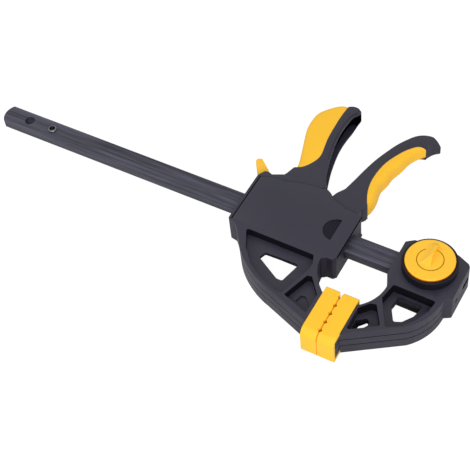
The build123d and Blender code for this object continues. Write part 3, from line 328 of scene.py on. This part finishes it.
THUMB_START, THUMB_END = 18.5 * MM, 9.8 * MM      # thumb recess with painted shade, from the cover's right end
THUMB_LOW, THUMB_HIGH = -7.7 * MM, 9.7 * MM       # from the bar's centre line

PAD_FLAT = 0.07 * MM         # from where the pads meet to just past their flat faces
PAD_SEAM = 0.45 * MM         # half width of the painted shade in the groove where they meet
PADS_START = 40.0 * MM       # from the bar's centre line

RING_R = 8.3 * MM            # round seam of the knob's centre, with painted shade
RING_HALF = 0.3 * MM         # half its width
KNOB_EDGE = 0.5 * MM         # below the knob's top, where the painted shade of its round edge begins
KNOB_SIDE = 1.0 * MM         # and where the darker painted shade of its side begins


# ---- materials -------------------------------------------------------------------------------------
def moulded_black(name, tone=1.0):
    """Black moulding with a faint cloud and a fine grain, darker with a lower tone."""
    finish = Finish(name, BLACK, roughness=0.5, specular=0.5 * tone)
    cloud = finish.noise(scale=28.0, detail=4.0)
    finish.colour_from(cloud, span=(0.35, 0.7), colour=BLACK, shades=(0.9 * tone, 1.12 * tone))
    finish.gloss_from(finish.noise(scale=60.0), span=(0.3, 0.7), roughness=(0.44, 0.56))
    finish.bump_from(finish.noise(scale=2600.0, detail=2.0), distance=0.02, strength=0.5)
    return finish


def banded_black():
    """Black moulding of head and fixed jaw, with painted shade in the grooves of its band, along its seams, in the
    grip's channel, in the end recess and on the pocket walls.
    """
    finish = moulded_black("black_moulding_banded")
    x, y, z = finish.place()
    height = finish.distance(z, BAR_Z)
    line = finish.math("LESS_THAN", finish.distance(height, BAND_HALF), BAND_LINE)
    on_jaw = finish.math("LESS_THAN", y, BAR_Y - BAND_START)
    throat = finish.inside({x: (HEAD_X + THROAT_START, KNOB_X - THROAT_END),
                            y: (BAR_Y - THROAT_DEPTH, BAR_Y)})
    band = finish.math("MULTIPLY", line, finish.math("SUBTRACT", on_jaw, throat))
    seam = finish.inside({z: (COVER_HIGH[2] - SEAM_DEPTH, COVER_HIGH[2] - SEAM),
                          x: (COVER_LOW[0] - SEAM_DEPTH, COVER_HIGH[0] + SEAM_DEPTH),
                          y: (COVER_LOW[1] - SEAM_DEPTH, COVER_HIGH[1] + SEAM_DEPTH)})
    left_seam = finish.inside({z: (COVER_HIGH[2] - SEAM_DEPTH, COVER_HIGH[2] + SEAM),
                               x: (COVER_LOW[0] - LEFT_SEAM, COVER_LOW[0] + SEAM),
                               y: (COVER_LOW[1], BAR_Y + LEFT_SEAM_END)})
    hollow = finish.inside({z: (BAR_Z - HOLLOW_HALF, BAR_Z + HOLLOW_HALF),
                            y: (BAR_Y + HOLLOW_START, cad_box[1][1])})
    recess = finish.inside({x: (END_X - END_RECESS, END_X - SEAM),
                            y: (BAR_Y - END_RECESS_REACH, BAR_Y + END_RECESS_REACH),
                            z: (BAR_Z - END_RECESS_HALF, BAR_Z + END_RECESS_HALF)})
    # painted shade in the band's grooves, along the cover's seams, in the grip's channel and in the end recess
    finish.paint_shade_where(finish.largest((band, seam, left_seam, hollow, recess)), SHADOW)
    # painted shade on the pocket walls
    walls = [finish.inside({x: (datum + left * MM, datum + right * MM),
                            y: (BAR_Y + near * MM, BAR_Y + far * MM),
                            height: (web, WALL_TOP)})
             for datum, web, (left, right), (near, far) in POCKET_WALLS]
    finish.paint_shade_where(finish.largest(walls), WALL_SHADE, RECESS_SHEEN_LOSS)
    return finish


def satin_cover():
    """Satin black cover with painted shade along its edge and in its thumb recess."""
    finish = Finish("satin_cover", COVER_BLACK, roughness=0.42)
    smear = finish.noise(scale=16.0, detail=5.0, stretch=(1, 2.2, 1))
    finish.colour_from(smear, span=(0.35, 0.72), colour=COVER_BLACK, shades=(0.92, 1.15))
    finish.gloss_from(smear, span=(0.3, 0.75), roughness=(0.36, 0.5))
    finish.bump_from(finish.noise(scale=3000.0, detail=2.0), distance=0.012, strength=0.4)
    x, y, z = finish.place()
    below = finish.inside({z: (COVER_LOW[2], COVER_HIGH[2] - SEAM)})
    thumb = finish.inside({x: (COVER_X - THUMB_START, COVER_X - THUMB_END),
                           y: (BAR_Y + THUMB_LOW, BAR_Y + THUMB_HIGH)})
    # painted shade in the thumb recess
    finish.paint_shade_where(finish.math("MULTIPLY", below, thumb), RECESS_SHADE, RECESS_SHEEN_LOSS)
    # painted shade along the cover's edge, below its top
    edge = finish.math("MULTIPLY", below, finish.math("SUBTRACT", 1.0, thumb))
    finish.paint_shade_where(edge, EDGE_SHADOW)
    return finish


def soft_yellow():
    """Yellow rubber of grip, trigger, tab and pads, with painted shade in the groove between the two pads."""
    finish = Finish("soft_yellow", YELLOW, roughness=0.5, specular=0.4)
    finish.colour_from(finish.noise(scale=22.0), span=(0.3, 0.75), colour=YELLOW, shades=(0.97, 1.03))
    finish.gloss_from(finish.noise(scale=90.0), span=(0.3, 0.7), roughness=(0.45, 0.58))
    finish.bump_from(finish.noise(scale=1800.0, detail=2.0), distance=0.02, strength=0.5)
    x, y, _ = finish.place()
    # painted shade in the groove where the pads meet
    groove = finish.inside({finish.distance(x, FACE_X): (PAD_FLAT, PAD_SEAM),
                            y: (cad_box[0][1], BAR_Y - PADS_START)})
    finish.paint_shade_where(groove, PAD_SHADE, YELLOW_SHEEN_LOSS)
    return finish


def hard_yellow():
    """Yellow knob with painted shade in its round seam and on its turned-down edge and side."""
    finish = Finish("hard_yellow", YELLOW, roughness=0.4)
    finish.colour_from(finish.noise(scale=30.0), span=(0.3, 0.75), colour=YELLOW, shades=(0.98, 1.03))
    finish.gloss_from(finish.noise(scale=70.0, detail=4.0), span=(0.3, 0.7), roughness=(0.34, 0.46))
    finish.bump_from(finish.noise(scale=900.0, detail=2.0), distance=0.01, strength=0.4)
    x, y, z = finish.place()
    across = finish.math("POWER", finish.math("SUBTRACT", x, KNOB_X), 2.0)
    along = finish.math("POWER", finish.math("SUBTRACT", y, BAR_Y), 2.0)
    radius = finish.math("SQRT", finish.math("ADD", across, along))
    # painted shade in the round seam on the knob's top
    on_top = finish.math("LESS_THAN", z, KNOB_HIGH[2] + SEAM)
    ring = finish.math("LESS_THAN", finish.distance(radius, RING_R), RING_HALF)
    finish.paint_shade_where(finish.math("MULTIPLY", on_top, ring), RING_SHADE)
    # painted shade on the knob's turned-down edge and its side, amber then brown
    on_knob = finish.math("LESS_THAN", radius, KNOB_RADIUS + SEAM)
    for depth, tint, sheen_loss in ((KNOB_EDGE, AMBER_SHADE, YELLOW_SHEEN_LOSS),
                                    (KNOB_SIDE, BROWN_SHADE, ALL_SHEEN)):
        below = finish.math("LESS_THAN", z, KNOB_HIGH[2] - depth)
        finish.paint_shade_where(finish.math("MULTIPLY", on_knob, below), tint, sheen_loss)
    return finish


def blackened_bar():
    """Blackened steel with marks drawn out along the bar."""
    finish = Finish("blackened_bar", OXIDE, roughness=0.42, metallic=0.45)
    drawn = finish.noise(scale=520.0, detail=6.0, stretch=(0.03, 1, 1), rough=0.68)
    finish.colour_from(drawn, span=(0.36, 0.74), colour=OXIDE, shades=(0.55, 2.8))
    finish.gloss_from(drawn, span=(0.3, 0.75), roughness=(0.34, 0.55))
    finish.bump_from(drawn, distance=0.02, strength=0.6)
    return finish


def bright_steel(name, colour, roughness):
    """Plain steel with a fine grain."""
    finish = Finish(name, colour, roughness, metallic=1.0)
    grain = finish.noise(scale=500.0, detail=4.0)
    finish.colour_from(grain, span=(0.3, 0.7), colour=colour, shades=(0.85, 1.15))
    finish.gloss_from(grain, span=(0.3, 0.7), roughness=(roughness - 0.06, roughness + 0.08))
    finish.bump_from(grain, distance=0.01, strength=0.4)
    return finish


SLOT_FINISH = {"bar_steel": blackened_bar(),
               "pin_steel": bright_steel("pin_steel", PIN_GREY, roughness=0.34),
               "plate_steel": bright_steel("plate_steel", PLATE_GREY, roughness=0.42),
               "spring_steel": bright_steel("spring_steel", SPRING_GREY, roughness=0.3),
               "screw_steel": bright_steel("screw_steel", SCREW_GREY, roughness=0.36),
               "black_plastic": moulded_black("black_moulding"),
               "black_cover": satin_cover(),
               "yellow_soft": soft_yellow(),
               "yellow_hard": hard_yellow()}
black_banded = banded_black()
black_collar = moulded_black("black_collar", COLLAR_TONE)
OWN_FINISH = {"fixed_jaw": black_banded, "head_body": black_banded, "lock_collar": black_collar}


def material_of(name):
    """The material of a CAD node: its own, or that of its slot."""
    return OWN_FINISH.get(name, SLOT_FINISH[node_slot[name]]).material


def finish_node(name):
    """Give a CAD node that stays in view its material."""
    part = nodes[name]
    if not part.material_slots:
        part.data.materials.append(None)
    for place in part.material_slots:
        place.link = "OBJECT"
        place.material = material_of(name)


# ---- pieces ----------------------------------------------------------------------------------------
# rounding of each piece's edges, in mm
ROUNDED = {"bar": 0.25, "fixed_jaw": 0.5, "lock_collar": 0.3, "fixed_jaw_pad": 1.0, "head_body": 0.5,
           "cover_front": 0.8, "cover_rear": 0.8, "grip_overmould": 0.7, "moving_jaw_pad": 1.0,
           "trigger": 0.9, "trigger_grip": 0.8, "release_tab": 0.9, "lock_knob": 0.4, "knob_centre": 0.4}
# pieces with roundings that meet in points, which are merged
MEETING = ("fixed_jaw", "lock_collar", "trigger")

TRAVEL = {joint["name"]: max(map(abs, joint["range_m"]))
          for joint in frame["joints"] if joint["type"] == "slide"}
BRAKE_KEEP = 0.33            # share of its length that the brake spring keeps when released
DRIVE_LOW, DRIVE_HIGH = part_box("drive_spring")
LOCK_LOW, LOCK_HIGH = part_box("lock_spring")
# springs: joint, axis, fixed end and the share of its length that each keeps
SPRINGS = {"drive_spring": ("drive_push", (1, 0, 0), DRIVE_LOW,
                            1 - TRAVEL["drive_push"] / (DRIVE_HIGH[0] - DRIVE_LOW[0])),
           "brake_spring": ("release_swing", (1, 0, 0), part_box("brake_spring")[0], BRAKE_KEEP),
           "lock_spring": ("pin_lift", (0, 0, 1), LOCK_HIGH,
                           1 - TRAVEL["pin_lift"] / (LOCK_HIGH[2] - LOCK_LOW[2]))}

for name, (joint, axis, fixed_end, keep) in SPRINGS.items():
    piece = clean_copy(name, f"{name}_coil")
    smooth(piece)
    dress(piece, material_of(name), node_body[name])
    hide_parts(name)
    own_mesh(piece)

for name in nodes:
    if name in ROUNDED:
        piece = softened(name, ROUNDED[name])
        dress(piece, material_of(name), node_body[name])
        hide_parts(name)
    elif name not in SPRINGS:
        finish_node(name)

# ---- studio ----------------------------------------------------------------------------------------
FLOOR_SIZE = 6.0             # metres
FLOOR_GAP = 0.2 * MM         # below the clamp
FLOOR_COLOUR = (0.86, 0.86, 0.86)
FLOOR_GLOW = 1.12
GLOW_SHARE = 0.86            # share of the glow in what the camera sees of the floor
SOFT_LIGHT = 0.68            # of the surroundings on the clamp
SEEN_LIGHT = 0.9             # of the surroundings themselves, seen or reflected
AIM = Vector((0.03, 0.0, 0.01))
LAMPS = (("key", (-0.55, -0.45, 0.85), 2.0, 0.7),     # name, place, watts and size in metres
         ("rim", (0.50, -0.66, 0.62), 4.0, 0.3))


def floor_material():
    """White floor that keeps a soft shadow but looks white to the camera."""
    finish = Finish("floor_white", FLOOR_COLOUR, roughness=0.9, specular=0.1)
    glow = finish.node("ShaderNodeEmission", {"Color": WHITE, "Strength": FLOOR_GLOW})
    path = finish.node("ShaderNodeLightPath")
    share = finish.math("MULTIPLY", path.outputs["Is Camera Ray"], GLOW_SHARE)
    blend = finish.node("ShaderNodeMixShader", {"Fac": share, 1: finish.shader.outputs[0],
                                                2: glow.outputs[0]})
    feed(finish.tree, finish.tree.nodes["Material Output"].inputs["Surface"], blend.outputs[0])
    return finish.material


bpy.ops.object.select_all(action="DESELECT")
bpy.ops.mesh.primitive_plane_add(size=FLOOR_SIZE, location=(0, 0, cad_box[0][2] - FLOOR_GAP))
floor = bpy.context.object
floor.name = "floor"
floor.data.materials.append(floor_material())

world = bpy.data.worlds.new("studio")
bpy.context.scene.world = world
world.use_nodes = True
sky = world.node_tree
soft = sky.nodes["Background"]
feed(sky, soft.inputs["Color"], WHITE)
feed(sky, soft.inputs["Strength"], SOFT_LIGHT)
seen = add_node(sky, "ShaderNodeBackground", {"Color": WHITE, "Strength": SEEN_LIGHT})
ray = add_node(sky, "ShaderNodeLightPath")
direct = add_node(sky, "ShaderNodeMath", {0: ray.outputs["Is Camera Ray"],
                                          1: ray.outputs["Is Glossy Ray"]}, operation="MAXIMUM")
both = add_node(sky, "ShaderNodeMixShader", {"Fac": direct.outputs[0], 1: soft.outputs[0],
                                             2: seen.outputs[0]})
feed(sky, sky.nodes["World Output"].inputs["Surface"], both.outputs[0])

for name, place, watts, size in LAMPS:
    bpy.ops.object.light_add(type="AREA", location=place)
    light = bpy.context.object
    light.name = name
    light.data.energy = watts
    light.data.size = size
    light.rotation_euler = (AIM - Vector(place)).to_track_quat("-Z", "Y").to_euler()

# ---- camera ----------------------------------------------------------------------------------------
PITCH, ROLL, YAW = math.radians(52.04), math.radians(7.55), math.radians(-35.15)
LENS = 96.36
SENSOR = 36.0
CAMERA_PLACE = Vector((0.31387, BAR_Y - 0.43266, 0.65158))


def camera_axes():
    """Right, down and forward of the view, in the clamp's frame."""
    level_right = Vector((1, 0, 0))
    level_down = Vector((0, -math.sin(PITCH), -math.cos(PITCH)))
    forward = Vector((0, math.cos(PITCH), -math.sin(PITCH)))
    right = level_right * math.cos(ROLL) + level_down * math.sin(ROLL)
    down = level_down * math.cos(ROLL) - level_right * math.sin(ROLL)
    turned_x = Vector((math.cos(YAW), math.sin(YAW), 0))
    turned_y = Vector((-math.sin(YAW), math.cos(YAW), 0))
    return [Vector((axis.dot(turned_x), axis.dot(turned_y), axis.z)) for axis in (right, down, forward)]


bpy.ops.object.camera_add(location=CAMERA_PLACE)
camera = bpy.context.object
camera.name = "camera"
camera.data.lens = LENS
camera.data.sensor_width = SENSOR
view_right, view_down, view_forward = camera_axes()
camera.matrix_world = Matrix((
    (view_right.x, -view_down.x, -view_forward.x, CAMERA_PLACE.x),
    (view_right.y, -view_down.y, -view_forward.y, CAMERA_PLACE.y),
    (view_right.z, -view_down.z, -view_forward.z, CAMERA_PLACE.z),
    (0, 0, 0, 1)))
bpy.context.scene.camera = camera
bpy.context.scene.view_settings.view_transform = "Standard"
